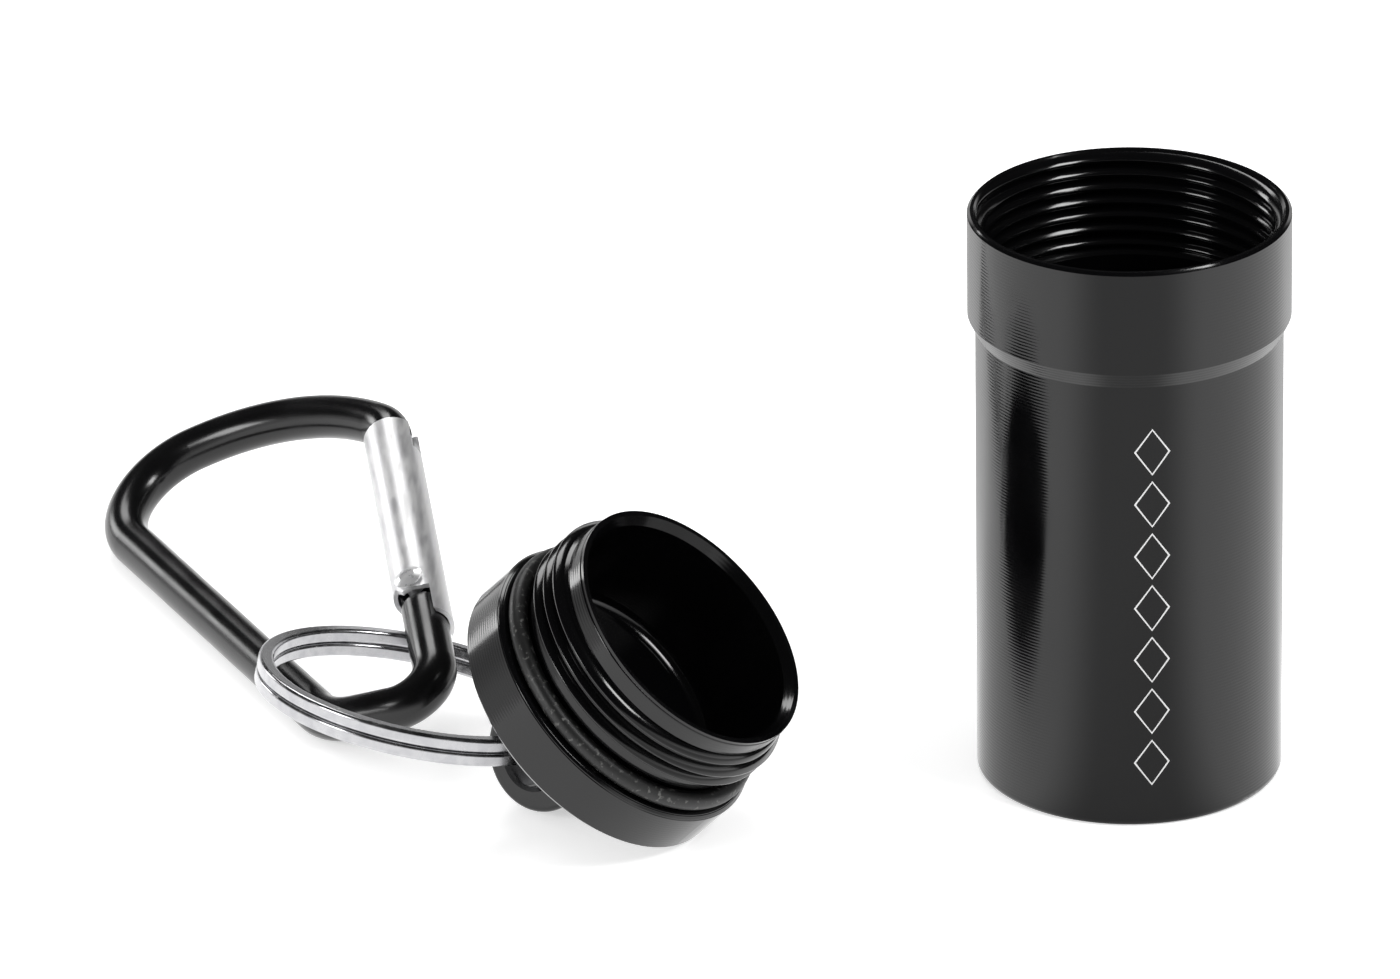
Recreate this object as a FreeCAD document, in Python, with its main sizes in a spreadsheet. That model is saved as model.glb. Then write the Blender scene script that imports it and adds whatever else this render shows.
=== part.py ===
import FreeCAD, Part
import math
import os

import Sketcher

Vector = FreeCAD.Vector
Rotation = FreeCAD.Rotation
Placement = FreeCAD.Placement

# Pocket case for earplugs: a turned aluminium canister that stands open, and beside it
# its screw cap, which lies on its lug with a split ring and a snap carabiner.
# The origin is the middle of the canister's base. +Z is up and +Y points away from the viewer.
# Every length is in millimetres and every angle in degrees.

# Driving dimensions
SIZES = {
    # canister
    "collar_radius": 16.0,
    "canister_radius": 15.22,
    "canister_height": 60.0,
    "collar_height": 10.8,
    "step_height": 1.65,
    "base_thickness": 2.0,
    "canister_bore_radius": 14.1,
    "thread_bore_radius": 15.05,
    "thread_bore_depth": 10.0,
    "thread_runout": 0.9,
    "foot_rounding": 0.75,
    "rim_chamfer": 0.3,
    "bore_corner": 1.5,
    # cap
    "cap_radius": 16.0,
    "cap_band_height": 5.55,
    "cap_edge_chamfer": 0.35,
    "shoulder_drop": 0.45,
    "neck_radius": 13.5,
    "neck_height": 2.3,
    "spigot_root_radius": 13.95,
    "spigot_thread_height": 5.5,
    "pilot_radius": 13.64,
    "pilot_height": 2.3,
    "cavity_radius": 12.5,
    "cavity_mouth_radius": 13.1,
    "cavity_mouth_depth": 0.9,
    "cavity_depth": 13.0,
    "cavity_corner": 1.2,
    # lug under the cap
    "lug_radius": 6.1,
    "lug_reach": 6.6,
    "lug_thickness": 4.6,
    "lug_edge": 0.5,
    "eye_radius": 3.2,
    "eye_reach": 7.4,
    "eye_chamfer": 0.4,
    # rubber ring
    "seal_section": 1.9,
    "seal_clearance": 0.03,
    # split ring
    "ring_outer_radius": 16.0,
    "ring_wire_width": 1.55,
    "ring_wire_height": 1.4,
    "ring_turn_gap": 0.06,
    "ring_wire_edge": 0.35,
    "ring_ramp_angle": 26.0,
    "ring_start_angle": 100.0,
    # carabiner
    "rod_radius": 2.25,
    "gate_radius": 2.8,
    "gate_length": 29.0,
    "gate_bore_radius": 2.35,
    "gate_bore_depth": 17.0,
    "gate_lip": 5.6,
    "lip_width": 1.0,
    "gate_edge_chamfer": 0.25,
    "mouth_inner_rise": 0.15,
    "mouth_arch_width": 2.1,
    "mouth_inner_gap": 0.75,
    "mouth_outer_gap": 0.45,
    "shoulder_drop_below_pivot": 2.2,
    "tongue_thickness": 2.4,
    "tongue_radius": 1.8,
    "nose_gap": 0.3,
    "nose_depth": 4.5,
    "nose_thickness": 1.8,
    "nose_clearance": 0.2,
    "nose_inset": 0.9,
    "nose_setback": 0.25,
    "rod_overlap": 0.5,
    "hinge_bend_radius": 3.8,
    "hinge_bend_angle": 112.0,
    "end_length": 4.4,
    "end_bend_radius": 6.8,
    "gate_lean": 21.2,
    "corner_bend_radius": 8.4,
    "corner_bend_angle": 114.0,
    "crown_radius": 26.5,
    "crown_angle": 52.0,
    "nose_bend_radius": 5.2,
    # hinge of the gate
    "rivet_radius": 0.9,
    "rivet_head_radius": 1.5,
    "rivet_head_height": 0.45,
    "rivet_crown_radius": 0.82,
    "rivet_edge_height": 0.16,
    "rivet_clearance": 0.05,
    "plunger_radius": 2.2,
    "plunger_head": 1.6,
    "plunger_stem_radius": 0.8,
    "plunger_stem": 3.5,
    "plunger_clearance": 0.05,
    "spring_wire_radius": 0.2,
    "spring_radius": 1.75,
    "spring_turns": 8.0,
    # how the pieces lie
    "cap_place_x": -53.58,
    "cap_place_y": -10.55,
    "cap_tilt": 44.0,
    "cap_heading": -23.4,
    "lug_turn": -19.0,
    "ring_swing": 53.1,
    "ring_play": 1.7,
    "pivot_place_x": -70.9,
    "pivot_place_y": 19.85,
    "carabiner_tilt": 28.5,
    "carabiner_heading": 25.7,
}


# Sizes that the sheet can follow: a value and the text of the expression that gives it
class Size:
    def __init__(self, value, text):
        self.value = float(value)
        self.text = text

    def join(self, sign, other, value):
        return Size(value, f"({self.text} {sign} {other.text})")

    def __add__(self, other):
        other = as_size(other)
        return self.join("+", other, self.value + other.value)

    def __sub__(self, other):
        other = as_size(other)
        return self.join("-", other, self.value - other.value)

    def __mul__(self, other):
        other = as_size(other)
        return self.join("*", other, self.value * other.value)

    def __truediv__(self, other):
        other = as_size(other)
        return self.join("/", other, self.value / other.value)

    def __neg__(self):
        return as_size(0) - self


def as_size(thing):
    return thing if isinstance(thing, Size) else Size(thing, repr(float(thing)))


def size(name):
    return Size(SIZES[name], f"Sizes.{name}")


doc = FreeCAD.newDocument("earplug_case")
sheet = doc.addObject("Spreadsheet::Sheet", "Sizes")
for row, (alias, number) in enumerate(SIZES.items(), start=1):
    sheet.set(f"A{row}", alias)
    sheet.set(f"B{row}", str(number))
    sheet.setAlias(f"B{row}", alias)
doc.recompute()

NODES = []
# Lengths below this count as nothing
TINY = 1e-6
# A cut is this many times as long as what it goes through
THROUGH = 2


def keep(thing, label, placement=None):
    """Names a finished sub-part and puts it where it lies."""
    thing.Label = label
    if placement is not None:
        thing.Placement = placement
    NODES.append(thing)
    return thing


def bind(thing, name, length):
    length = as_size(length)
    setattr(thing, name, length.value)
    thing.setExpression(name, length.text)


def new_body(name):
    return doc.addObject("PartDesign::Body", name)


def new_sketch(body, name, role):
    sketch = body.newObject("Sketcher::SketchObject", name)
    planes = [f for f in body.Origin.OriginFeatures if f.Role == role]
    sketch.AttachmentSupport = [(planes[0], "")]
    sketch.MapMode = "FlatFace"
    return sketch


def pin_vertex(sketch, geometry, corner, across, up):
    """Ties a vertex of a sketch to two sizes measured from the sketch's origin."""
    for kind, length, axis in (("DistanceX", across, -2), ("DistanceY", up, -1)):
        length = as_size(length)
        if abs(length.value) < TINY:
            sketch.addConstraint(Sketcher.Constraint("PointOnObject", geometry, corner, axis))
            continue
        index = sketch.addConstraint(
            Sketcher.Constraint(kind, -1, 1, geometry, corner, length.value)
        )
        sketch.setExpression(f"Constraints[{index}]", length.text)


def draw_outline(sketch, corners):
    """Closed outline of straight edges through corners given as pairs of sizes."""
    corners = [(as_size(a), as_size(b)) for a, b in corners]
    spots = [Vector(a.value, b.value, 0) for a, b in corners]
    first = None
    for start, end in zip(spots, spots[1:] + spots[:1]):
        index = sketch.addGeometry(Part.LineSegment(start, end), False)
        first = index if first is None else first
    count = len(spots)
    for step in range(count):
        follower = first + (step + 1) % count
        sketch.addConstraint(Sketcher.Constraint("Coincident", first + step, 2, follower, 1))
    for step, (across, up) in enumerate(corners):
        pin_vertex(sketch, first + step, 1, across, up)


def draw_circle(sketch, across, up, radius):
    across, up, radius = as_size(across), as_size(up), as_size(radius)
    circle = Part.Circle(Vector(across.value, up.value, 0), Vector(0, 0, 1), radius.value)
    index = sketch.addGeometry(circle, False)
    pin_vertex(sketch, index, 3, across, up)
    limit = sketch.addConstraint(Sketcher.Constraint("Radius", index, radius.value))
    sketch.setExpression(f"Constraints[{limit}]", radius.text)


def revolve(body, name, sketch):
    turned = body.newObject("PartDesign::Revolution", name)
    turned.Profile = sketch
    turned.ReferenceAxis = (sketch, ["V_Axis"])
    turned.Angle = 360.0
    sketch.Visibility = False
    doc.recompute()
    return turned


def both_ways(body, kind, name, sketch, length):
    """Pad or Pocket of this whole length, half of it on each side of the sketch."""
    feature = body.newObject(f"PartDesign::{kind}", name)
    feature.Profile = sketch
    feature.SideType = "Symmetric"
    bind(feature, "Length", length)
    doc.recompute()
    return feature


def soften(body, kind, name, base, chosen, length):
    """Fillet or Chamfer on the edges of a feature that pass a test."""
    edges = [f"Edge{i}" for i, edge in enumerate(base.Shape.Edges, start=1) if chosen(edge)]
    finish = body.newObject(f"PartDesign::{kind}", name)
    finish.Base = (base, edges)
    bind(finish, "Radius" if kind == "Fillet" else "Size", length)
    body.Tip = finish
    doc.recompute()
    return finish


def is_circle(edge, radius, height, axis=2):
    """True for a circular edge of this radius, at this height along an axis."""
    if not isinstance(edge.Curve, Part.Circle):
        return False
    same_radius = abs(edge.Curve.Radius - radius) < TINY
    return same_radius and abs(edge.Curve.Center[axis] - height) < TINY


# Canister: one turned cup with a raised collar and a wider bore where the thread is cut
def make_canister():
    body = new_body("canister_body")
    wall = size("canister_radius")
    collar = size("collar_radius")
    top = size("canister_height")
    foot = size("foot_rounding")
    rim = size("rim_chamfer")
    bore = size("canister_bore_radius")
    thread = size("thread_bore_radius")
    floor = size("base_thickness")
    collar_foot = top - size("collar_height")
    thread_end = top - size("thread_bore_depth")
    sketch = new_sketch(body, "canister_profile", "XZ_Plane")
    draw_outline(sketch, [
        (0, 0),
        (wall, 0),
        (wall, collar_foot - size("step_height")),
        (collar, collar_foot),
        (collar, top - rim),
        (collar - rim, top),
        (thread + rim, top),
        (thread, top - rim),
        (thread, thread_end),
        (bore, thread_end - size("thread_runout")),
        (bore, floor),
        (0, floor),
    ])
    turned = revolve(body, "canister_turning", sketch)
    foot_edge = soften(
        body, "Fillet", "canister_foot", turned,
        lambda edge: is_circle(edge, wall.value, 0), foot,
    )
    soften(
        body, "Fillet", "canister_bore_corner", foot_edge,
        lambda edge: is_circle(edge, bore.value, floor.value), size("bore_corner"),
    )
    return keep(body, "canister_body")


# The cap's own frame: the closed face is at z = 0, the spigot points to +Z and the lug to -Z
CAP_LIFT = SIZES["cap_radius"] * math.sin(math.radians(SIZES["cap_tilt"]))
CAP_TURN = (
    Rotation(Vector(0, 0, 1), SIZES["cap_heading"])
    * Rotation(Vector(0, 1, 0), SIZES["cap_tilt"])
    * Rotation(Vector(0, 0, 1), SIZES["lug_turn"])
)
CAP_PLACE = Placement(Vector(SIZES["cap_place_x"], SIZES["cap_place_y"], CAP_LIFT), CAP_TURN)


def make_cap():
    body = new_body("cap")
    band = size("cap_band_height")
    outer = size("cap_radius")
    edge = size("cap_edge_chamfer")
    drop = size("shoulder_drop")
    neck = size("neck_radius")
    root = size("spigot_root_radius")
    pilot = size("pilot_radius")
    thread_foot = band + size("neck_height")
    thread_top = thread_foot + size("spigot_thread_height")
    mouth = thread_top + size("pilot_height")
    cavity = size("cavity_radius")
    cavity_floor = mouth - size("cavity_depth")
    sketch = new_sketch(body, "cap_profile", "XZ_Plane")
    draw_outline(sketch, [
        (0, 0),
        (outer - edge, 0),
        (outer, edge),
        (outer, band - drop),
        (outer - drop, band),
        (neck, band),
        (neck, thread_foot - (root - neck)),
        (root, thread_foot),
        (root, thread_top - (root - pilot)),
        (pilot, thread_top),
        (pilot, mouth),
        (size("cavity_mouth_radius"), mouth),
        (cavity, mouth - size("cavity_mouth_depth")),
        (cavity, cavity_floor),
        (0, cavity_floor),
    ])
    turned = revolve(body, "cap_turning", sketch)
    cavity_corner = soften(
        body, "Fillet", "cap_cavity_corner", turned,
        lambda e: is_circle(e, cavity.value, cavity_floor.value), size("cavity_corner"),
    )
    body.Tip = cavity_corner

    # The lug is a flat tab with a round end, milled from the same bar
    radius = size("lug_radius")
    reach = size("lug_reach")
    tab = new_sketch(body, "lug_profile", "XZ_Plane")
    draw_outline(tab, [(-radius, 0), (radius, 0), (radius, -reach), (-radius, -reach)])
    both_ways(body, "Pad", "lug_sides", tab, size("lug_thickness"))
    tab_end = new_sketch(body, "lug_end_profile", "XZ_Plane")
    draw_circle(tab_end, 0, -reach, radius)
    rounded = both_ways(body, "Pad", "lug_end", tab_end, size("lug_thickness"))
    rim = soften(
        body, "Fillet", "lug_rim", rounded,
        lambda e: is_circle(e, radius.value, -reach.value, 2), size("lug_edge"),
    )
    body.Tip = rim
    eye = new_sketch(body, "eye_profile", "XZ_Plane")
    draw_circle(eye, 0, -size("eye_reach"), size("eye_radius"))
    bored = both_ways(body, "Pocket", "lug_eye", eye, size("lug_thickness") * THROUGH)
    soften(
        body, "Chamfer", "eye_edges", bored,
        lambda e: is_circle(e, SIZES["eye_radius"], -SIZES["eye_reach"], 2), size("eye_chamfer"),
    )
    return keep(body, "cap", CAP_PLACE)


# Rubber ring in the neck behind the cap's thread
def make_seal():
    seal = doc.addObject("Part::Torus", "o_ring")
    half = size("seal_section") / 2
    bind(seal, "Radius1", size("neck_radius") + size("seal_clearance") + half)
    bind(seal, "Radius2", half)
    rise = SIZES["cap_band_height"] + SIZES["seal_clearance"] + SIZES["seal_section"] / 2
    return keep(seal, "o_ring", CAP_PLACE * Placement(Vector(0, 0, rise), Rotation()))


# The ring's own frame: its middle is the origin, its axis is Z, and the eye lies at -X
RING_RADIUS = SIZES["ring_outer_radius"] - SIZES["ring_wire_width"] / 2
RING_STEP = SIZES["ring_wire_height"] + SIZES["ring_turn_gap"]
# Places on the wire's climb from one turn to the other
RAMP_STEPS = 8


def ring_place():
    swing = math.radians(SIZES["ring_swing"])
    outward = Vector(-math.sin(swing), 0, -math.cos(swing))
    eye = Vector(0, 0, -SIZES["eye_reach"])
    middle = eye + outward * (SIZES["ring_play"] + RING_RADIUS)
    # local X runs from the eye to the middle, local Y along the eye
    turn = Rotation(outward, Vector(0, 1, 0), Vector(), "XYZ")
    return CAP_PLACE * Placement(middle, turn)


def make_split_ring():
    """Two flat turns of wire, with one short ramp where the wire climbs between them."""
    ramp = math.radians(SIZES["ring_ramp_angle"])
    low = -RING_STEP / 2
    high = RING_STEP / 2
    start = math.radians(SIZES["ring_start_angle"])

    def spot(angle, level):
        turned = start + angle
        return Vector(RING_RADIUS * math.cos(turned), RING_RADIUS * math.sin(turned), level)

    def flat_arc(begin, end, level):
        middle = (begin + end) / 2
        return Part.Arc(spot(begin, level), spot(middle, level), spot(end, level)).toShape()

    full = 2 * math.pi
    # a smooth climb: level at both ends, steepest in the middle
    shares = [step / RAMP_STEPS for step in range(RAMP_STEPS + 1)]
    climb = [
        spot(full + share * ramp, low + (high - low) * share * share * (3 - 2 * share))
        for share in shares
    ]
    slope = Part.BSplineCurve()

    def along(angle):
        turned = start + angle
        return Vector(-math.sin(turned), math.cos(turned), 0)

    slope.interpolate(Points=climb, InitialTangent=along(full), FinalTangent=along(full + ramp))
    path = Part.Wire([
        flat_arc(ramp, full / 2, low),
        flat_arc(full / 2, full, low),
        slope.toShape(),
        flat_arc(full + ramp, full * 1.5 + ramp, high),
        flat_arc(full * 1.5 + ramp, full * 2, high),
    ])
    wide = SIZES["ring_wire_width"] / 2
    tall = SIZES["ring_wire_height"] / 2
    begin = spot(ramp, low)
    outward = Vector(begin.x, begin.y, 0)
    outward.normalize()
    section = rounded_loop(begin, outward, Vector(0, 0, 1), wide, tall, SIZES["ring_wire_edge"])
    pipe = Part.BRepOffsetAPI.MakePipeShell(path)
    pipe.setBiNormalMode(Vector(0, 0, 1))
    pipe.add(section)
    pipe.build()
    pipe.makeSolid()
    ring = doc.addObject("Part::Feature", "split_ring")
    ring.Shape = pipe.shape()
    return keep(ring, "split_ring", ring_place())


def rounded_loop(middle, across, up, half_across, half_up, edge):
    """Rectangle with round corners about a point, as one closed wire."""
    pieces = []
    inner_across = half_across - edge
    inner_up = half_up - edge
    quarter = math.pi / 4
    turns = [(1, 1, 0), (-1, 1, 2), (-1, -1, 4), (1, -1, 6)]
    ends = []
    for sign_across, sign_up, eighths in turns:
        hub = middle + across * (sign_across * inner_across) + up * (sign_up * inner_up)
        arc = [
            hub
            + across * (edge * math.cos((eighths + step) * quarter))
            + up * (edge * math.sin((eighths + step) * quarter))
            for step in range(3)
        ]
        ends.append((arc[0], arc[2]))
        pieces.append(Part.Arc(*arc).toShape())
    joined = []
    for index, piece in enumerate(pieces):
        joined.append(piece)
        following = ends[(index + 1) % 4][0]
        joined.append(Part.makeLine(ends[index][1], following))
    return Part.Wire(joined)


# The carabiner's own frame: the gate's pivot is the origin, +Y runs along the gate to the
# nose, the spine lies at -X, and Z is square to the flat of the carabiner.
# The rod is followed clockwise from the hinge: a bend, the narrow end, a bend, the spine,
# the corner, the crown and the nose. The straight behind the hinge and the spine take
# the lengths that bring the nose back onto the gate's line.
def rod_steps(straight, spine):
    lean = math.radians(SIZES["gate_lean"])
    hinge_bend = math.radians(SIZES["hinge_bend_angle"])
    corner = math.radians(SIZES["corner_bend_angle"])
    crown = math.radians(SIZES["crown_angle"])
    return [
        ("line", straight, 0),
        ("bend", SIZES["hinge_bend_radius"], hinge_bend),
        ("line", SIZES["end_length"], 0),
        ("bend", SIZES["end_bend_radius"], math.pi - lean - hinge_bend),
        ("line", spine, 0),
        ("bend", SIZES["corner_bend_radius"], corner),
        ("bend", SIZES["crown_radius"], crown),
        ("bend", SIZES["nose_bend_radius"], math.pi + lean - corner - crown),
    ]


def follow(steps, start):
    """Edges of a path of lines and clockwise bends that sets out towards -Y, and its end."""
    spot = start
    heading = -math.pi / 2
    edges = []
    for kind, length, turn in steps:
        ahead = Vector(math.cos(heading), math.sin(heading), 0)
        if kind == "line":
            if length > TINY:
                edges.append(Part.makeLine(spot, spot + ahead * length))
            spot = spot + ahead * length
            continue
        hub = spot + Vector(math.sin(heading), -math.cos(heading), 0) * length

        def on_bend(part):
            angle = heading - part * turn
            return hub - Vector(math.sin(angle), -math.cos(angle), 0) * length

        edges.append(Part.Arc(spot, on_bend(0.5), on_bend(1.0)).toShape())
        spot = on_bend(1.0)
        heading -= turn
    return edges, spot


def close_rod():
    """Lengths of the straight and of the spine for which the rod ends at the nose."""
    lean = math.radians(SIZES["gate_lean"])
    shoulder = Vector(0, -SIZES["shoulder_drop_below_pivot"], 0)
    nose = SIZES["gate_length"] + SIZES["nose_gap"]
    end = follow(rod_steps(0, 0), shoulder)[1]
    spine = end.x / math.sin(lean)
    end = follow(rod_steps(0, spine), shoulder)[1]
    return end.y - nose, spine


STRAIGHT, SPINE = close_rod()


def spine_distance():
    """Distance from the pivot to the middle line of the spine."""
    start = Vector(0, -SIZES["shoulder_drop_below_pivot"], 0)
    foot = follow(rod_steps(STRAIGHT, SPINE)[:4], start)[1]
    lean = math.radians(SIZES["gate_lean"])
    return abs(foot.x * math.cos(lean) + foot.y * math.sin(lean))


PIVOT_HEIGHT = SIZES["rod_radius"] + spine_distance() * math.sin(
    math.radians(SIZES["carabiner_tilt"])
)
CARABINER_TURN = (
    Rotation(Vector(0, 0, 1), SIZES["carabiner_heading"])
    * Rotation(Vector(0, 1, 0), -SIZES["carabiner_tilt"])
    * Rotation(Vector(0, 0, 1), -SIZES["gate_lean"])
)
CARABINER_PLACE = Placement(
    Vector(SIZES["pivot_place_x"], SIZES["pivot_place_y"], PIVOT_HEIGHT), CARABINER_TURN
)
# A piece turned about Z is stood along the gate by this placement
ALONG_GATE = CARABINER_PLACE * Placement(Vector(), Rotation(Vector(1, 0, 0), -90))


def box_feature(name, lengths, corner):
    box = doc.addObject("Part::Box", name)
    for side, length in zip(("Length", "Width", "Height"), lengths):
        bind(box, side, length)
    for axis, place in zip("xyz", corner):
        box.setExpression(f"Placement.Base.{axis}", as_size(place).text)
    return box


def make_frame():
    start = Vector(0, -SIZES["shoulder_drop_below_pivot"], 0)
    edges = follow(rod_steps(STRAIGHT, SPINE), start)[0]
    spine = doc.addObject("Part::Feature", "rod_line")
    spine.Shape = Part.Wire(edges)
    circle = doc.addObject("Part::Circle", "rod_section")
    bind(circle, "Radius", size("rod_radius"))
    circle.Placement = Placement(start, Rotation(Vector(1, 0, 0), 90))
    rod = doc.addObject("Part::Sweep", "rod")
    rod.Sections = [circle]
    rod.Spine = (spine, [f"Edge{i}" for i in range(1, len(edges) + 1)])
    rod.Solid = True
    rod.Frenet = False

    # tongue that the gate turns on, round about the rivet
    drop = size("shoulder_drop_below_pivot")
    thick = size("tongue_thickness")
    round_end = size("tongue_radius")
    overlap = size("rod_overlap")
    neck = box_feature(
        "tongue_neck",
        (round_end * 2, drop + overlap, thick),
        (-round_end, -drop - overlap, -(thick / 2)),
    )
    hub = doc.addObject("Part::Cylinder", "tongue_hub")
    bind(hub, "Radius", round_end)
    bind(hub, "Height", thick)
    hub.setExpression("Placement.Base.z", (-(thick / 2)).text)

    # nose that drops into the gate's slot, flush with the outside of the rod
    gate = size("gate_length")
    depth = size("nose_depth")
    nose_thick = size("nose_thickness")
    inner = size("gate_radius") - size("nose_inset")
    nose = box_feature(
        "nose_blade",
        (inner + size("rod_radius") - size("nose_setback"), depth + size("nose_gap") + overlap, nose_thick),
        (-inner, gate - depth, -(nose_thick / 2)),
    )
    whole = doc.addObject("Part::MultiFuse", "frame_stock")
    whole.Shapes = [rod, neck, hub, nose]
    whole.Refine = True
    hole = doc.addObject("Part::Cylinder", "rivet_hole")
    bind(hole, "Radius", size("rivet_radius") + size("rivet_clearance"))
    bind(hole, "Height", thick * THROUGH)
    hole.setExpression("Placement.Base.z", (-(thick * THROUGH / 2)).text)
    frame = doc.addObject("Part::Cut", "carabiner_frame")
    frame.Base = whole
    frame.Tool = hole
    doc.recompute()
    return keep(frame, "carabiner_frame", CARABINER_PLACE)


# Gate: a round bar, bored from the hinge end for the plunger and its spring, slotted at
# the nose end, and cut back at the hinge end so that it clears the frame as it opens
def make_gate():
    body = new_body("gate")
    radius = size("gate_radius")
    length = size("gate_length")
    bore = size("gate_bore_radius")
    lip = size("gate_lip")
    rim = new_sketch(body, "gate_profile", "XZ_Plane")
    chamfer = size("gate_edge_chamfer")
    draw_outline(rim, [
        (0, size("gate_bore_depth")),
        (bore, size("gate_bore_depth")),
        (bore, -lip),
        (radius, -lip),
        (radius, length - chamfer),
        (radius - chamfer, length),
        (0, length),
    ])
    revolve(body, "gate_turning", rim)
    drop = size("shoulder_drop_below_pivot")
    mouth = new_sketch(body, "mouth_profile", "XZ_Plane")
    lip_start = radius - size("lip_width")
    far = radius * 2
    notch = -(size("tongue_radius") + size("plunger_clearance"))
    below = lip + radius
    draw_outline(mouth, [
        (-far, size("mouth_inner_rise")),
        (notch, size("mouth_inner_rise")),
        (-(size("mouth_arch_width") / 2), -(drop - size("mouth_inner_gap"))),
        (size("mouth_arch_width") / 2, -(drop - size("mouth_outer_gap"))),
        (lip_start, -(drop - size("mouth_inner_gap"))),
        (lip_start, -below),
        (-far, -below),
    ])
    both_ways(body, "Pocket", "gate_mouth", mouth, radius * 2 * THROUGH)
    slot = new_sketch(body, "slot_profile", "XZ_Plane")
    gap = size("nose_clearance")
    inner = -(radius - size("nose_inset")) - gap
    above = length + radius
    draw_outline(slot, [
        (inner, length - size("nose_depth") - gap),
        (far, length - size("nose_depth") - gap),
        (far, above),
        (inner, above),
    ])
    both_ways(body, "Pocket", "nose_slot", slot, size("nose_thickness") + gap * 2)
    hole = new_sketch(body, "rivet_seat", "XZ_Plane")
    draw_circle(hole, 0, 0, size("rivet_radius") + size("rivet_clearance"))
    both_ways(body, "Pocket", "rivet_holes", hole, radius * 2 * THROUGH)
    return keep(body, "gate", ALONG_GATE)


# Rivet: a shank across the gate with a low domed head at each end
def make_rivet():
    body = new_body("gate_rivet")
    half = size("gate_radius") + size("rivet_clearance")
    head = size("rivet_head_radius")
    tall = size("rivet_head_height")
    shank = size("rivet_radius")
    crown = size("rivet_crown_radius")
    side = size("rivet_edge_height")
    sketch = new_sketch(body, "rivet_profile", "XZ_Plane")
    draw_outline(sketch, [
        (0, -half - tall),
        (crown, -half - tall),
        (head, -half - side),
        (head, -half),
        (shank, -half),
        (shank, half),
        (head, half),
        (head, half + side),
        (crown, half + tall),
        (0, half + tall),
    ])
    revolve(body, "rivet_turning", sketch)
    return keep(body, "gate_rivet", CARABINER_PLACE)


# Plunger: presses on the tongue, with a stem inside the spring
PLUNGER_FOOT = SIZES["tongue_radius"] + SIZES["plunger_clearance"]


def make_plunger():
    body = new_body("gate_plunger")
    foot = size("tongue_radius") + size("plunger_clearance")
    head = foot + size("plunger_head")
    tip = head + size("plunger_stem")
    sketch = new_sketch(body, "plunger_profile", "XZ_Plane")
    draw_outline(sketch, [
        (0, foot),
        (size("plunger_radius"), foot),
        (size("plunger_radius"), head),
        (size("plunger_stem_radius"), head),
        (size("plunger_stem_radius"), tip),
        (0, tip),
    ])
    revolve(body, "plunger_turning", sketch)
    return keep(body, "gate_plunger", ALONG_GATE)


# Spring: a coil from the plunger's head to the end of the bore
def make_spring():
    wire = SIZES["spring_wire_radius"]
    low = PLUNGER_FOOT + SIZES["plunger_head"] + wire + SIZES["plunger_clearance"]
    high = SIZES["gate_bore_depth"] - wire - SIZES["plunger_clearance"]
    helix = doc.addObject("Part::Helix", "spring_line")
    helix.Pitch = (high - low) / SIZES["spring_turns"]
    helix.Height = high - low
    bind(helix, "Radius", size("spring_radius"))
    section = doc.addObject("Part::Circle", "spring_section")
    bind(section, "Radius", size("spring_wire_radius"))
    section.Placement = Placement(
        Vector(SIZES["spring_radius"], 0, 0), Rotation(Vector(1, 0, 0), 90)
    )
    coil = doc.addObject("Part::Sweep", "gate_spring")
    coil.Sections = [section]
    coil.Spine = (helix, ["Edge1"])
    coil.Solid = True
    coil.Frenet = True
    doc.recompute()
    return keep(coil, "gate_spring", ALONG_GATE * Placement(Vector(0, 0, low), Rotation()))


make_canister()
make_cap()
make_seal()
make_split_ring()
make_frame()
make_gate()
make_rivet()
make_plunger()
make_spring()

doc.recompute()
for thing in doc.Objects:
    faults = [state for state in thing.State if state in ("Invalid", "Error")]
    if faults:
        raise RuntimeError(f"{thing.Name} is {faults}")
for node in NODES:
    if node.Shape.isNull() or not node.Shape.isValid():
        raise RuntimeError(f"{node.Label} has no valid shape")

os.makedirs("parts", exist_ok=True)
for node in NODES:
    shape = node.Shape
    box = shape.BoundBox
    shape.exportStep(f"parts/{node.Label}.step")
    print(
        f"{node.Label}: {len(shape.Solids)} solid, {shape.Volume:.1f} mm3,"
        f" x {box.XMin:.2f} {box.XMax:.2f}, y {box.YMin:.2f} {box.YMax:.2f},"
        f" z {box.ZMin:.2f} {box.ZMax:.2f}"
    )
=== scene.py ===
# %% [markdown]
# Earplug case: a small pocket canister of black anodised aluminium that stands open, and its
# screw cap lying beside it with a split ring and a snap carabiner.
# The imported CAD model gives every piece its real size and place. This script dresses it: it
# adds the screw threads and the finest turning, gives each surface its finish, and sets up a
# small white studio. Everything is in metres, and MM turns a size in millimetres into metres.

# %% Load the frame
import math

import bmesh
import bpy
from mathutils import Euler, Matrix, Vector


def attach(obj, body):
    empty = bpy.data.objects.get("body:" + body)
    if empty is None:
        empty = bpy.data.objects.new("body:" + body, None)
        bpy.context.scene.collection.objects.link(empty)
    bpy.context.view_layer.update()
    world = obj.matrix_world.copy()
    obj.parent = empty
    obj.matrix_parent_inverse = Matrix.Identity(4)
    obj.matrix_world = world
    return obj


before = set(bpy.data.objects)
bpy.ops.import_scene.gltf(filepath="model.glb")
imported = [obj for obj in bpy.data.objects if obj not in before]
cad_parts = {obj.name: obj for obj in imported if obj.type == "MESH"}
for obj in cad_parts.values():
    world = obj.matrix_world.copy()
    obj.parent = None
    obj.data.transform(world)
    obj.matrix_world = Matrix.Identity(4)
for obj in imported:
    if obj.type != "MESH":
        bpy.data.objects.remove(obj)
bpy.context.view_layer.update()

MM = 0.001
print("nodes:", ", ".join(sorted(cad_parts)))

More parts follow.
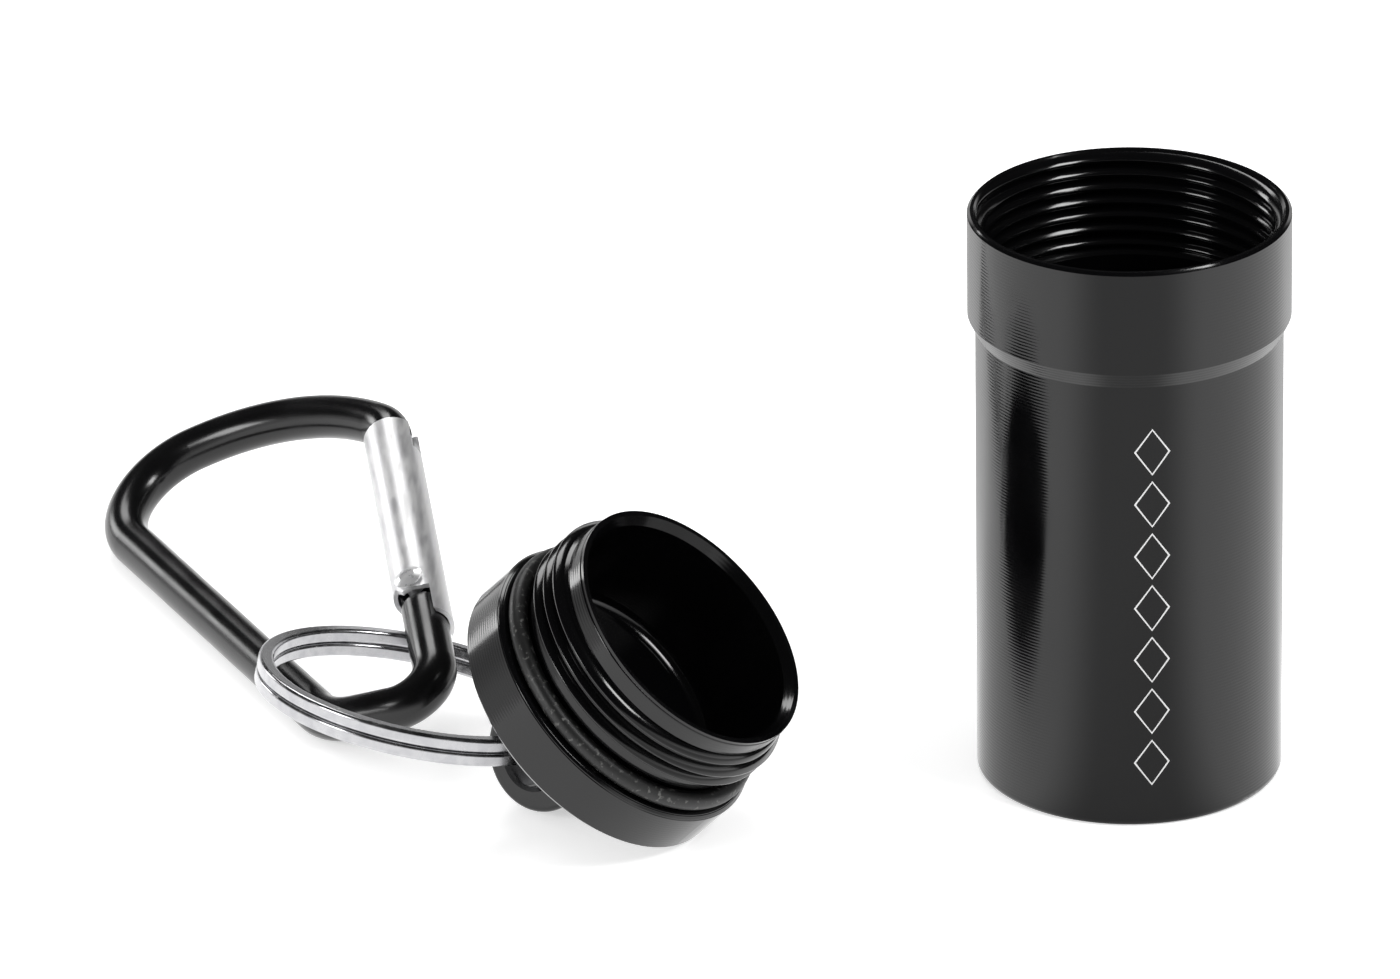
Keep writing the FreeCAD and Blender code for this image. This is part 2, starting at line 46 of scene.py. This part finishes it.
# %% [markdown]
# The camera. A small product is photographed through a long lens from well back, because that
# keeps upright sides parallel, while a short lens close by would make them lean. The place,
# tilt and lens were worked out from the photograph, in which the circles of the canister's
# mouth, collar and foot show as ellipses.

# %% Camera
CAMERA_PLACE = Vector((-42.56, -1213.37, 579.64)) * MM
CAMERA_PITCH = math.radians(24.353)
CAMERA_ROLL = math.radians(-0.79)
LENS_MM = 345.5
SENSOR_MM = 36.0

camera_data = bpy.data.cameras.new("camera")
camera_data.sensor_fit = "HORIZONTAL"
camera_data.sensor_width = SENSOR_MM
camera_data.lens = LENS_MM
camera_data.clip_start = 0.05
camera_data.clip_end = 20.0
camera = bpy.data.objects.new("camera", camera_data)
bpy.context.scene.collection.objects.link(camera)
tilt_down = Matrix.Rotation(math.radians(90) - CAMERA_PITCH, 4, "X")
roll = Matrix.Rotation(CAMERA_ROLL, 4, "Z")
camera.matrix_world = Matrix.Translation(CAMERA_PLACE) @ tilt_down @ roll
bpy.context.scene.camera = camera
bpy.context.scene.view_settings.view_transform = "Standard"
print("camera at", [round(v, 3) for v in camera.location])

# %% [markdown]
# Colours and nodes. Colours are written as the eye sees them, as sRGB hex values, and one
# function turns them into the linear numbers that a shader wants. A material's nodes could be
# wired one by one. A function that adds a node with its settings and its links is shorter, and
# each material below then reads as a list, from its pattern down to its output.

# %% Colour and node helpers
def colour(hex_text):
    channels = [int(hex_text[i:i + 2], 16) / 255 for i in (1, 3, 5)]
    linear = [c / 12.92 if c <= 0.04045 else ((c + 0.055) / 1.055) ** 2.4 for c in channels]
    return (*linear, 1.0)


def add(tree, kind, links=None, **settings):
    """Adds a node. Settings are its properties, and links go to inputs by name or number."""
    node = tree.nodes.new(f"ShaderNode{kind}")
    for name, value in settings.items():
        setattr(node, name, value)
    for socket, value in (links or {}).items():
        if isinstance(value, bpy.types.NodeSocket):
            tree.links.new(value, node.inputs[socket])
        else:
            node.inputs[socket].default_value = value
    return node


def new_material(name):
    material = bpy.data.materials.new(name)
    material.use_nodes = True
    material.node_tree.nodes.clear()
    return material, material.node_tree


def finish_material(tree, shader):
    add(tree, "OutputMaterial", {"Surface": shader.outputs[0]})


def dress(name, material):
    """Gives a CAD node this material in all its slots."""
    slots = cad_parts[name].data.materials
    slots.clear()
    slots.append(material)
    print(name, "is", material.name)


print("sRGB #808080 in linear light:", round(colour("#808080")[0], 3))

# %% [markdown]
# Where the cap lies. The cap rests on the edge of its band, tilted and turned. The turned
# pieces that this script adds to it are made upright at the origin, where their axis is Z, and
# are then moved by the transform below, the same one that the CAD model uses. Modelling them
# in place would need every point worked out in a tilted frame.

# %% The cap's place
CAP_TILT = math.radians(44.0)
CAP_HEADING = math.radians(-23.4)
LUG_TURN = math.radians(-19.0)
CAP_RADIUS = 16.0 * MM
CAP_X = -53.58 * MM
CAP_Y = -10.55 * MM
CAP_TURN = (
    Matrix.Rotation(CAP_HEADING, 4, "Z")
    @ Matrix.Rotation(CAP_TILT, 4, "Y")
    @ Matrix.Rotation(LUG_TURN, 4, "Z")
)
CAP_PLACE = Matrix.Translation((CAP_X, CAP_Y, CAP_RADIUS * math.sin(CAP_TILT))) @ CAP_TURN
print("cap's axis:", [round(v, 3) for v in CAP_PLACE.to_3x3() @ Vector((0, 0, 1))])

# %% [markdown]
# Black anodised aluminium: the canister, the cap and the carabiner's rod. A bath grows a clear
# oxide film on the metal, which is then dyed black, so it looks like black glass and no bare
# metal shows. A lathe leaves fine rings round all that it cuts. They are far too shallow to
# model, about a hundredth of a millimetre, so a bump from a wave texture draws them, and on
# gloss they break up the edge of every reflection. Real ones are about 0.1 mm apart, too fine
# for the picture, so they are drawn at 0.34 mm. The pattern reads Object coordinates, turned
# upright for the tilted cap, which keeps the rings square to each piece's own axis.

# %% Turned and anodised aluminium
TURNING_PITCH = 0.34 * MM
CANISTER_TURNING_DEPTH = 0.012 * MM
CAP_TURNING_DEPTH = 0.004 * MM
# The rod is drawn and bent, so no lathe has marked it
ROD_TURNING_DEPTH = 0.0
# Handling rubs the film in patches of about this size
HANDLED_PATCH = 6.25 * MM


def wave_scale(spacing):
    """The wave texture's bands repeat every 2 pi / 20 at a scale of 1."""
    return math.pi / (10 * spacing)


def anodised(name, base, roughness, axis_turn, depth):
    """Black dye under a clear film: dark gloss with no metal in it. The film bends light about
    as much as glass, so the IOR is 1.5."""
    material, tree = new_material(name)
    place = add(tree, "TexCoord")
    along = add(tree, "Mapping", {0: place.outputs["Object"], "Rotation": axis_turn})
    rings = add(tree, "TexWave", {
        "Vector": along.outputs[0], "Scale": wave_scale(TURNING_PITCH),
        "Distortion": 0.6, "Detail": 1.0,
    }, wave_type="BANDS", bands_direction="Z", wave_profile="SIN")
    patches = add(tree, "TexNoise", {
        "Vector": along.outputs[0], "Scale": 1 / HANDLED_PATCH, "Detail": 2.0,
    })
    strength = add(tree, "Math", {0: rings.outputs["Fac"], 1: patches.outputs["Fac"]},
                   operation="MULTIPLY")
    bump = add(tree, "Bump", {
        "Height": strength.outputs[0], "Distance": depth, "Strength": 1.0,
    })
    rubbed = add(tree, "MapRange", {
        "Value": patches.outputs["Fac"], "From Min": 0.35, "From Max": 0.65,
        "To Min": roughness * 0.85, "To Max": roughness * 1.2,
    })
    shader = add(tree, "BsdfPrincipled", {
        "Base Color": colour(base), "Roughness": rubbed.outputs[0], "IOR": 1.5,
        "Normal": bump.outputs[0],
    })
    finish_material(tree, shader)
    return material


UPRIGHT = Euler((0, 0, 0))
CAP_UPRIGHT = CAP_TURN.to_3x3().transposed().to_euler()
canister_black = anodised("black_anodised_canister", "#060607", 0.13, UPRIGHT,
                          CANISTER_TURNING_DEPTH)
cap_black = anodised("black_anodised_cap", "#060607", 0.13, CAP_UPRIGHT, CAP_TURNING_DEPTH)
rod_black = anodised("black_anodised_rod", "#0a0a0b", 0.22, UPRIGHT, ROD_TURNING_DEPTH)
dress("canister_body", canister_black)
dress("cap", cap_black)
dress("carabiner_frame", rod_black)

# %% [markdown]
# The O-ring is moulded nitrile rubber: near black, with a satin skin that spreads the light,
# and pale dust clings to it. Dust could be scattered as tiny pieces, but hundreds of them say
# no more than a noise texture whose peaks alone are kept. The same noise gives the skin its
# faint relief. The specks are about 0.6 mm apart, coarser than dust, so that some show.

# %% Nitrile rubber
SPECKS_PER_MM = 1.8
RUBBER_RELIEF = 0.02 * MM


def rubber():
    """Nitrile rubber as it leaves the mould: dull black, with dust on it."""
    material, tree = new_material("nitrile_rubber")
    place = add(tree, "TexCoord")
    dust = add(tree, "TexNoise", {
        "Vector": place.outputs["Object"], "Scale": SPECKS_PER_MM / MM, "Detail": 3.0,
    })
    few = add(tree, "MapRange", {
        "Value": dust.outputs["Fac"], "From Min": 0.60, "From Max": 0.70,
    })
    tint = add(tree, "Mix", {
        "Factor": few.outputs[0], "A": colour("#141414"), "B": colour("#5c5c5a"),
    }, data_type="RGBA")
    bump = add(tree, "Bump", {"Height": dust.outputs["Fac"], "Distance": RUBBER_RELIEF})
    shader = add(tree, "BsdfPrincipled", {
        "Base Color": tint.outputs["Result"], "Roughness": 0.45, "Normal": bump.outputs[0],
    })
    finish_material(tree, shader)
    return material


dress("o_ring", rubber())

# %% [markdown]
# The bright metals. The split ring is steel with a nickel plating, smooth and evenly bright.
# The gate is aluminium with a satin finish, rubbed along its length, which lies close to Y,
# under a clear film. Its rivet and plunger are dull plated steel, and the spring inside is
# plain spring steel. Each could be one flat grey. Real metal varies in tint, gloss and relief
# at the same spots, because one scratch changes all three, so one noise drives them together.

# %% Steel and bare aluminium
def metal(name, light, dark, roughness, grain, grain_depth, stretch, bare):
    """Metal between two close greys. Its grain is drawn out where the stretch is below 1. A
    film scatters some of the light, and bare is the share that acts as polished metal."""
    material, tree = new_material(name)
    place = add(tree, "TexCoord")
    drawn = add(tree, "Mapping", {0: place.outputs["Object"], "Scale": stretch})
    scratches = add(tree, "TexNoise", {
        "Vector": drawn.outputs[0], "Scale": 1 / grain, "Detail": 3.0,
    })
    rough = add(tree, "MapRange", {
        "Value": scratches.outputs["Fac"], "From Min": 0.3, "From Max": 0.7,
        "To Min": roughness * 0.75, "To Max": roughness * 1.3,
    })
    tone = add(tree, "MapRange", {
        "Value": scratches.outputs["Fac"], "From Min": 0.35, "From Max": 0.6,
    })
    tint = add(tree, "Mix", {
        "Factor": tone.outputs[0], "A": colour(dark), "B": colour(light),
    }, data_type="RGBA")
    bump = add(tree, "Bump", {"Height": scratches.outputs["Fac"], "Distance": grain_depth})
    shader = add(tree, "BsdfPrincipled", {
        "Base Color": tint.outputs["Result"], "Metallic": bare, "Roughness": rough.outputs[0],
        "Normal": bump.outputs[0],
    })
    finish_material(tree, shader)
    return material


EVEN = (1, 1, 1)
ALONG_GATE = (1, 0.12, 1)
# Nickel plating on drawn wire: bright, with soft wide changes of tint
nickel = metal("nickel_plated_steel", "#bebec0", "#b0b0b3", 0.22, grain=1.2 * MM,
               grain_depth=0.001 * MM, stretch=EVEN, bare=1.0)
# Aluminium rubbed along the gate and anodised clear: pale satin with long faint streaks
satin = metal("satin_aluminium", "#ececec", "#dadadc", 0.42, grain=0.7 * MM,
              grain_depth=0.004 * MM, stretch=ALONG_GATE, bare=0.75)
# Steel with a dull pale plating: the palest metal here, without sharp reflections
rivet_steel = metal("rivet_steel", "#f0f0f0", "#dcdcde", 0.32, grain=1.0 * MM,
                    grain_depth=0.001 * MM, stretch=EVEN, bare=0.7)
# Bare steel wire, as coiled: darker than the plated parts
spring_steel = metal("spring_steel", "#9a9a9b", "#7c7c7e", 0.3, grain=0.5 * MM,
                     grain_depth=0.002 * MM, stretch=EVEN, bare=1.0)
dress("split_ring", nickel)
dress("gate", satin)
dress("gate_rivet", rivet_steel)
dress("gate_plunger", rivet_steel)
dress("gate_spring", spring_steel)

# %% [markdown]
# Turned pieces. Everything that a lathe cuts has the same section all round, so each piece
# that this script adds starts as one closed section, drawn flat beside the axis and spun round
# it. A revolved profile could also be a Screw modifier on a curve, but the operator leaves a
# plain mesh at once, which is what the export and the motion need. The first helper turns a
# mesh into an object, and tells the frame which body it rides on and which CAD finish it has.

# %% Helpers for added pieces
STEPS_PER_TURN = 160
# How far a section that sits on a wall goes into it
SINK = 0.05 * MM


def finish_piece(name, mesh, material, body, place=None):
    """Turns a bmesh into a smooth piece that rides on a body, with its place in its mesh."""
    bmesh.ops.recalc_face_normals(mesh, faces=mesh.faces)
    if place is not None:
        bmesh.ops.transform(mesh, matrix=place, verts=mesh.verts)
    data = bpy.data.meshes.new(name)
    mesh.to_mesh(data)
    mesh.free()
    data.materials.append(material)
    data.shade_smooth()
    piece = bpy.data.objects.new(name, data)
    bpy.context.scene.collection.objects.link(piece)
    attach(piece, body)
    print(name, len(data.polygons), "faces")


def section(mesh, corners):
    """A closed section in the XZ plane, as vertices and edges."""
    verts = [mesh.verts.new((radius, 0, height)) for radius, height in corners]
    edges = [mesh.edges.new(pair) for pair in zip(verts, verts[1:] + verts[:1])]
    return verts + edges


print("a turn has", STEPS_PER_TURN, "steps of", 360 / STEPS_PER_TURN, "degrees")

# %% [markdown]
# The screw threads: one inside the canister's mouth and one round the cap's spigot, both with
# turns 1.5 mm apart. Bump could draw them, but it leaves the outline smooth, and cutting them
# out of the wall leaves thin sliver faces. A thread is a helix, so its section climbs a little
# at each step of the spin, which is what the operator's dvec is for. The ridge fades into the
# wall at both ends, as a cut thread runs out.

# %% Thread helper
THREAD_PITCH = 1.5 * MM
# A thread's foot takes up nearly all of its pitch, and its crest is a narrow flat
FOOT_SHARE = 0.94
CREST_SHARE = 0.12


def thread(name, body, material, wall, crest, foot, turns, fades, sink, ceiling, place):
    """A ridge from the wall's radius to the crest's. Its first turn starts at the foot's
    height, its ends fade over these parts of a turn, and nothing rises above the ceiling."""
    half_foot = THREAD_PITCH * FOOT_SHARE / 2
    half_crest = THREAD_PITCH * CREST_SHARE / 2
    root = wall + math.copysign(sink, wall - crest)
    mesh = bmesh.new()
    corners = [
        (root, foot - half_foot),
        (wall, foot - half_foot),
        (crest, foot - half_crest),
        (crest, foot + half_crest),
        (wall, foot + half_foot),
        (root, foot + half_foot),
    ]
    start = section(mesh, corners)
    bmesh.ops.spin(
        mesh, geom=start, cent=(0, 0, 0), axis=(0, 0, 1), angle=2 * math.pi * turns,
        dvec=(0, 0, THREAD_PITCH / STEPS_PER_TURN), steps=round(turns * STEPS_PER_TURN),
        use_merge=False,
    )
    ends = [edge for edge in mesh.edges if edge.is_boundary]
    bmesh.ops.holes_fill(mesh, edges=ends, sides=len(corners))
    for vert in mesh.verts:
        angle = math.atan2(vert.co.y, vert.co.x) / (2 * math.pi)
        done = angle + round((vert.co.z - foot) / THREAD_PITCH - angle)
        share = max(0.0, min(1.0, done / fades[0], (turns - done) / fades[1]))
        radius = math.hypot(vert.co.x, vert.co.y)
        wanted = root + (radius - root) * share
        vert.co.x *= wanted / radius
        vert.co.y *= wanted / radius
        vert.co.z = min(vert.co.z, ceiling)
    finish_piece(name, mesh, material, body, place)


print("a thread climbs", round(THREAD_PITCH / STEPS_PER_TURN / MM, 4), "mm at each step")

# %% [markdown]
# The thread in the canister's mouth. The CAD model leaves a smooth wider bore for it, and its
# crests stand inward from there. It starts on the side near the camera, where the wall hides
# its first turn, and its last turn is trimmed just under the rim, as a real one is cut off by
# the end face. A boolean could trim it, but lowering the few points that are too high keeps
# the rows of faces whole.

# %% Thread in the canister's mouth
NEAR_SIDE = Matrix.Rotation(math.radians(-90), 4, "Z")
thread(
    "canister_thread", "canister", canister_black, wall=15.05 * MM, crest=14.2 * MM,
    foot=49.43 * MM, turns=6.75, fades=(0.3, 0.15), sink=SINK, ceiling=59.8 * MM,
    place=NEAR_SIDE,
)

# %% [markdown]
# The thread on the cap. It stands outward from the spigot and stops below the plain pilot that
# leads the cap in. The spigot grows thinner under the last turn, so this section reaches
# deeper into the wall, and no gap opens there. A second section for the last turn would do the
# same with more work.

# %% Thread on the cap
THREAD_START = Matrix.Rotation(math.radians(150), 4, "Z")
thread(
    "cap_thread", "cap", cap_black, wall=13.95 * MM, crest=14.8 * MM, foot=9.035 * MM,
    turns=2.8, fades=(0.12, 0.4), sink=0.35 * MM, ceiling=15.6 * MM,
    place=CAP_PLACE @ THREAD_START,
)

# %% [markdown]
# Turned grooves. Two bands of the cap show the lathe's coarser passes: the plain pilot above
# the thread and the small bevel at the band's shoulder. Bump could draw these too, but they
# are coarse enough to be shapes. Each band is one zigzag section, closed behind inside the
# wall and spun once round the cap's axis.

# %% Turned grooves
PILOT_DEPTH = 0.07 * MM
SHOULDER_DEPTH = 0.02 * MM
# The valleys stay this share of the depth above the wall, which keeps them clear of it
VALLEY_SHARE = 0.1


def grooves(name, low, high, count, depth):
    """Ridges between two corners of a profile, given as radius and height."""
    run = Vector(high) - Vector(low)
    outward = Vector((run.y, -run.x)).normalized()
    face = []
    for step in range(count * 2 + 1):
        stand = depth if step % 2 else VALLEY_SHARE * depth
        face.append(Vector(low) + run * (step / (count * 2)) + outward * stand)
    back = [Vector(high) - outward * SINK, Vector(low) - outward * SINK]
    mesh = bmesh.new()
    start = section(mesh, [tuple(corner) for corner in face + back])
    bmesh.ops.spin(
        mesh, geom=start, cent=(0, 0, 0), axis=(0, 0, 1), angle=2 * math.pi,
        steps=STEPS_PER_TURN, use_merge=True,
    )
    finish_piece(name, mesh, cap_black, "cap", CAP_PLACE)


grooves("pilot_grooves", (13.64 * MM, 13.45 * MM), (13.64 * MM, 15.35 * MM), 5, PILOT_DEPTH)
grooves("shoulder_grooves", (15.92 * MM, 5.18 * MM), (15.6 * MM, 5.5 * MM), 2, SHOULDER_DEPTH)

# %% [markdown]
# The engraving's finish. A laser bleaches the dye and roughens the film, which leaves a pale
# matt line made of fine dots. It could be one flat white, but a line with no grain looks like
# paint, so a fine noise moves it between white and light grey.

# %% Laser-etched oxide
ETCHED_DOTS_PER_MM = 9


def etched():
    """Bleached oxide: chalky white, made of the laser's fine dots."""
    material, tree = new_material("laser_etched_oxide")
    place = add(tree, "TexCoord")
    dots = add(tree, "TexNoise", {
        "Vector": place.outputs["Object"], "Scale": ETCHED_DOTS_PER_MM / MM,
    })
    tint = add(tree, "Mix", {
        "Factor": dots.outputs["Fac"], "A": colour("#d0d0d0"), "B": colour("#ffffff"),
    }, data_type="RGBA")
    shader = add(tree, "BsdfPrincipled", {
        "Base Color": tint.outputs["Result"], "Roughness": 0.6,
    })
    finish_material(tree, shader)
    return material


laser_white = etched()
print("engraving:", laser_white.name)

# %% [markdown]
# The engraving on the canister: seven outlined lozenges, one above another. A mask in the black
# material could draw them, but the exported mesh would then lack them, so the lines are a thin
# skin of their own. Each outline starts as a four-sided circle whose middle is inset and taken
# out. It then gets its thickness and is bent round the wall.

# %% Engraved lozenges
WALL_RADIUS = 15.22 * MM
# The skin lies half in the wall and half out of it, this far each way
LINE_SKIN = 0.01 * MM
LINE_WIDTH = 0.20 * MM
LOZENGE_WIDTH = 3.6 * MM
LOZENGE_HEIGHT = 5.0 * MM
LOZENGE_STEP = 5.6 * MM
LOZENGE_COUNT = 7
LOWEST_LOZENGE = 7.0 * MM
LOZENGE_BEARING = math.radians(-83.5)

strip = bmesh.new()
for number in range(LOZENGE_COUNT):
    middle = Matrix.Translation((0, LOWEST_LOZENGE + number * LOZENGE_STEP, 0))
    stretch = Matrix.Diagonal((LOZENGE_WIDTH / 2, LOZENGE_HEIGHT / 2, 1, 1))
    bmesh.ops.create_circle(strip, cap_ends=True, segments=4, radius=1.0,
                            matrix=middle @ stretch)
outlines = bmesh.ops.inset_individual(strip, faces=strip.faces[:], thickness=LINE_WIDTH)
middles = [face for face in strip.faces if face not in outlines["faces"]]
bmesh.ops.delete(strip, geom=middles, context="FACES")
bmesh.ops.subdivide_edges(strip, edges=strip.edges[:], cuts=8, use_grid_fill=True)
skin = bmesh.ops.extrude_face_region(strip, geom=strip.faces[:], use_keep_orig=True)
raised = [item for item in skin["geom"] if isinstance(item, bmesh.types.BMVert)]
bmesh.ops.translate(strip, vec=(0, 0, LINE_SKIN * 2), verts=raised)
for vert in strip.verts:
    bearing = LOZENGE_BEARING + vert.co.x / WALL_RADIUS
    stand = WALL_RADIUS - LINE_SKIN + vert.co.z
    vert.co = (stand * math.cos(bearing), stand * math.sin(bearing), vert.co.y)
finish_piece("etched_lozenges", strip, laser_white, "canister")

# %% [markdown]
# The floor. The object stands on a flat white sheet that runs past the picture on every side.
# A sheet swept up behind it could hide a horizon, but the camera looks down, so none shows.

# %% Floor
FLOOR_SIZE = 6.0
floor_mesh = bmesh.new()
bmesh.ops.create_grid(floor_mesh, x_segments=1, y_segments=1, size=FLOOR_SIZE / 2)
floor_data = bpy.data.meshes.new("floor")
floor_mesh.to_mesh(floor_data)
floor_mesh.free()
floor = bpy.data.objects.new("floor", floor_data)
bpy.context.scene.collection.objects.link(floor)
print("floor", FLOOR_SIZE, "m wide")

# %% [markdown]
# The paper. The camera sees it a little brighter than its lit colour, so that it reads as white
# and still keeps a soft shadow, with no more light on the object. The upright black walls
# mirror only the paper in front of them. It is dim straight ahead, where the camera stands in
# the light, and bright to the left and right, which draws the broad soft columns on the
# canister. Cards and flags round the object could do that, but the paper's own brightness, as
# reflections see it, is simpler.

# %% White paper
# Brightness added to the paper: as the camera sees it, and in reflections ahead and beside
SEEN_LIFT = 0.50
NEAR_LIFT = 0.16
SIDE_LIFT = 0.95
# Bearings from the Y axis between which the reflected paper grows bright
DIM_WITHIN = math.radians(18)
BRIGHT_BEYOND = math.radians(52)

# Uncoated paper is matt: it takes a shadow and shows no reflection of its own
paper, paper_tree = new_material("white_paper")
paper_rays = add(paper_tree, "LightPath")
paper_place = add(paper_tree, "TexCoord")
across = add(paper_tree, "SeparateXYZ", {0: paper_place.outputs["Object"]})
aside = add(paper_tree, "Math", {0: across.outputs["X"]}, operation="ABSOLUTE")
ahead = add(paper_tree, "Math", {0: across.outputs["Y"]}, operation="ABSOLUTE")
paper_bearing = add(paper_tree, "Math", {0: aside.outputs[0], 1: ahead.outputs[0]},
                    operation="ARCTAN2")
beside = add(paper_tree, "MapRange", {
    "Value": paper_bearing.outputs[0], "From Min": DIM_WITHIN, "From Max": BRIGHT_BEYOND,
    "To Min": NEAR_LIFT, "To Max": SIDE_LIFT,
}, interpolation_type="SMOOTHSTEP")
paper_gloss = add(paper_tree, "Mix", {
    "Factor": paper_rays.outputs["Is Glossy Ray"], "A": 0.0, "B": beside.outputs[0],
})
lift = add(paper_tree, "Mix", {
    "Factor": paper_rays.outputs["Is Camera Ray"], "A": paper_gloss.outputs[0],
    "B": SEEN_LIFT,
})
# In reflections the paper's white is painted down to grey. This painted shade dims the lit
# paper only as the black walls mirror it.
paper_dimmed_in_reflections = add(paper_tree, "Mix", {
    "Factor": paper_rays.outputs["Is Glossy Ray"], "A": colour("#f8f8f8"),
    "B": colour("#c0c0c0"),
}, data_type="RGBA")
sheet = add(paper_tree, "BsdfDiffuse", {"Color": paper_dimmed_in_reflections.outputs["Result"]})
glow = add(paper_tree, "Emission", {"Color": colour("#ffffff"), "Strength": lift.outputs[0]})
both = add(paper_tree, "AddShader", {0: sheet.outputs[0], 1: glow.outputs[0]})
finish_material(paper_tree, both)
floor_data.materials.append(paper)
print("paper as the camera sees it:", paper.name, "plus", SEEN_LIFT)

# %% [markdown]
# The sky. The camera sees white all round. Black gloss shows whatever stands above it, and a
# white dome would turn it grey, so in reflections the sky is a dark room over a white sweep:
# white near the horizon and dark from there up. A modelled room would need walls and a
# ceiling, and Light Path does the same in one world.

# %% Sky
SKY_LIGHT = 0.55
SKY_DARK = 0.02
# Heights on a sphere of radius 1 between which the white sweep ends
SWEEP_EDGE = 0.09
SWEEP_TOP = 0.24

world = bpy.data.worlds.new("studio")
bpy.context.scene.world = world
world.use_nodes = True
sky = world.node_tree
sky.nodes.clear()
sky_rays = add(sky, "LightPath")
direction = add(sky, "TexCoord")
height = add(sky, "SeparateXYZ", {0: direction.outputs["Generated"]})
sweep = add(sky, "MapRange", {
    "Value": height.outputs["Z"], "From Min": SWEEP_EDGE, "From Max": SWEEP_TOP,
    "To Min": 1.0, "To Max": SKY_DARK,
}, interpolation_type="SMOOTHSTEP")
sky_gloss = add(sky, "Mix", {
    "Factor": sky_rays.outputs["Is Glossy Ray"], "A": SKY_LIGHT, "B": sweep.outputs[0],
})
in_view = add(sky, "Mix", {
    "Factor": sky_rays.outputs["Is Camera Ray"], "A": sky_gloss.outputs[0], "B": 1.0,
})
background = add(sky, "Background", {
    "Color": colour("#ffffff"), "Strength": in_view.outputs[0],
})
add(sky, "OutputWorld", {"Surface": background.outputs[0]})
print("sky lights the object at", SKY_LIGHT)

# %% [markdown]
# The lamps. Four soft boxes stand in the dark part of the sky. On black gloss a lamp is seen
# rather than felt, so each one stands where its mirror image draws a bright streak down a
# thread, a rim or a rod, and together they cast the soft shadow. Small bright lamps could give
# the same light, but their streaks would be hard dots.

# %% Soft boxes
AIM = Vector((-30, 0, 20)) * MM
LAMP_DISTANCE = 0.9


def soft_box(name, direction, side, radiance):
    """A square lamp that faces the object. Power is radiance times pi times its area."""
    data = bpy.data.lights.new(name, "AREA")
    data.shape = "SQUARE"
    data.size = side
    data.energy = radiance * math.pi * side * side
    box = bpy.data.objects.new(name, data)
    bpy.context.scene.collection.objects.link(box)
    outward = Vector(direction).normalized()
    box.location = AIM + outward * LAMP_DISTANCE
    box.rotation_euler = outward.to_track_quat("Z", "Y").to_euler()
    box.visible_camera = False
    print(name, round(data.energy, 2), "W")


soft_box("right_softbox", (0.62, -0.34, 0.70), 0.28, 14.0)
soft_box("left_softbox", (-0.78, -0.50, 0.38), 0.30, 10.0)
soft_box("back_softbox", (-0.18, 0.70, 0.69), 0.32, 5.0)
soft_box("low_softbox", (-0.74, 0.62, 0.24), 0.22, 6.0)
